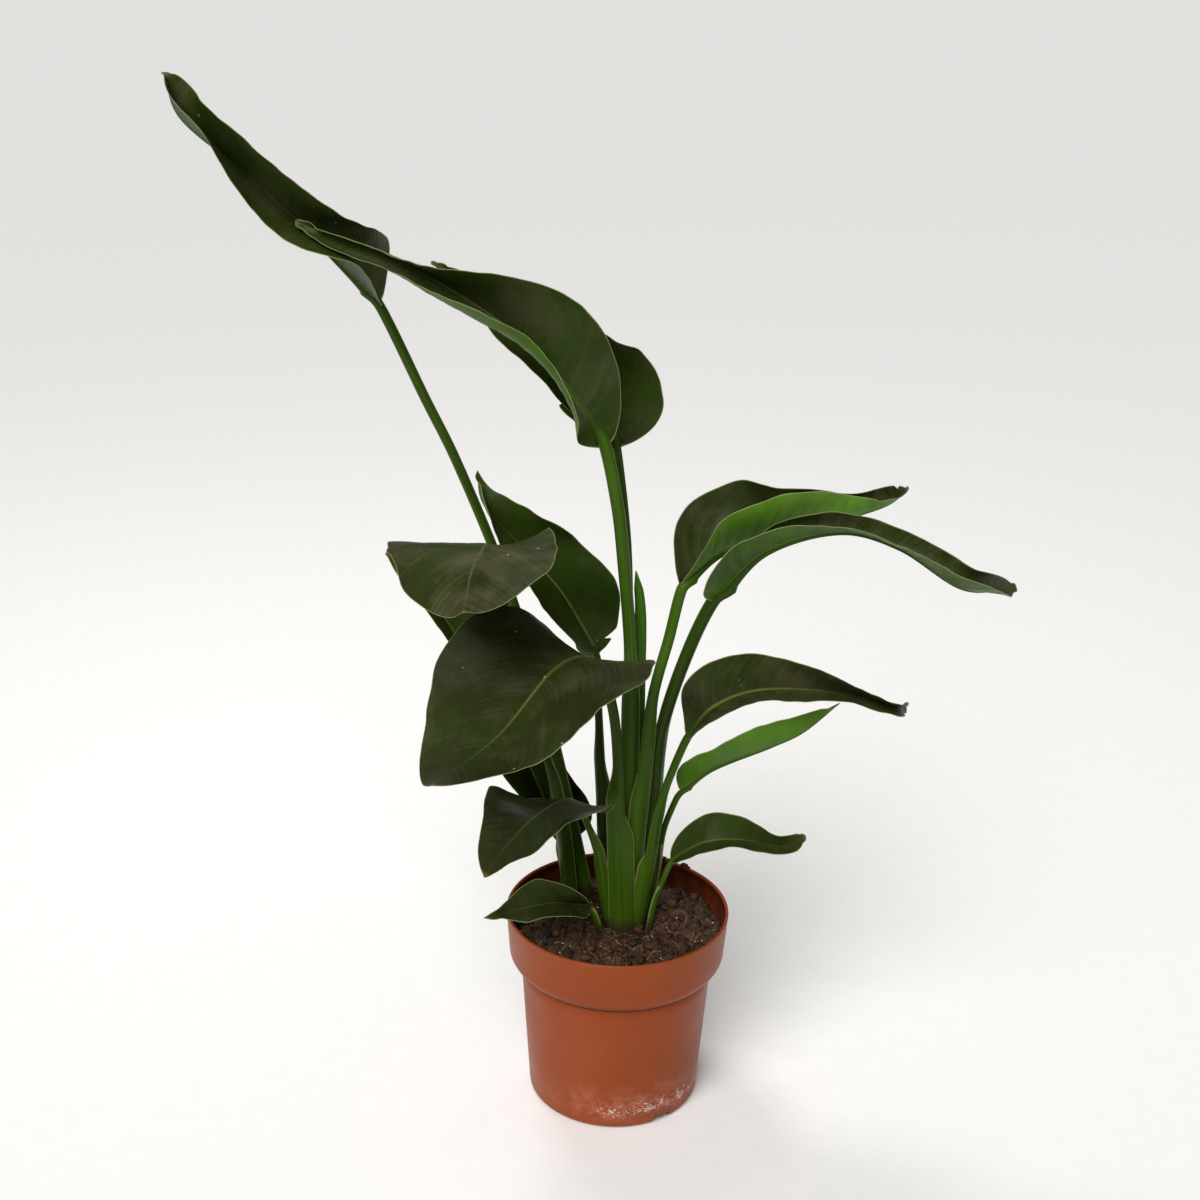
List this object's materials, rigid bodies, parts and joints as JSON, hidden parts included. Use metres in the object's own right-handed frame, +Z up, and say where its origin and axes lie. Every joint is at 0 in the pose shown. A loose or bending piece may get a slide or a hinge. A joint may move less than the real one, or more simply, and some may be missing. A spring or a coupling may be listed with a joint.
{
  "type": "potted foliage plant",
  "caption": "Upright foliage plant with large paddle-shaped leaves on long stalks, rooted in peat in a round tapered nursery pot with a deep collar.",
  "frame": {"origin": "centre of the pot's underside, on the plane that it stands on", "axes": "+Z up out of the pot, -Y towards the broad front of the plant, +X to the right when seen from the front"},
  "size_m": [0.5933, 0.2508, 0.7603],
  "materials": {
    "pot_plastic": "satin terracotta-coloured polypropylene with fine speckle, a little lime and scuffing",
    "peat": "rough dark brown coarse peat with bits of bark and fine roots",
    "leaf": "waxy dark olive-green blade with a paler midrib and thin pale margin",
    "young_leaf": "waxy fresh light-green young blade"
  },
  "bodies": {
    "root": {"pot": "pot_plastic", "soil": "peat", "leaf_top_left": "leaf", "leaf_top_front": "leaf", "leaf_top_rear": "leaf", "leaf_upright_left": "leaf", "leaf_mid_left": "leaf", "leaf_broad_front": "leaf", "leaf_low_left": "leaf", "leaf_left_rear": "leaf", "leaf_right_upper": "leaf", "leaf_right_arching": "leaf", "leaf_right_middle": "leaf", "leaf_right_narrow": "young_leaf", "leaf_right_low": "leaf", "leaf_small_front": "leaf", "leaf_spear": "young_leaf"}
  },
  "joints": []
}
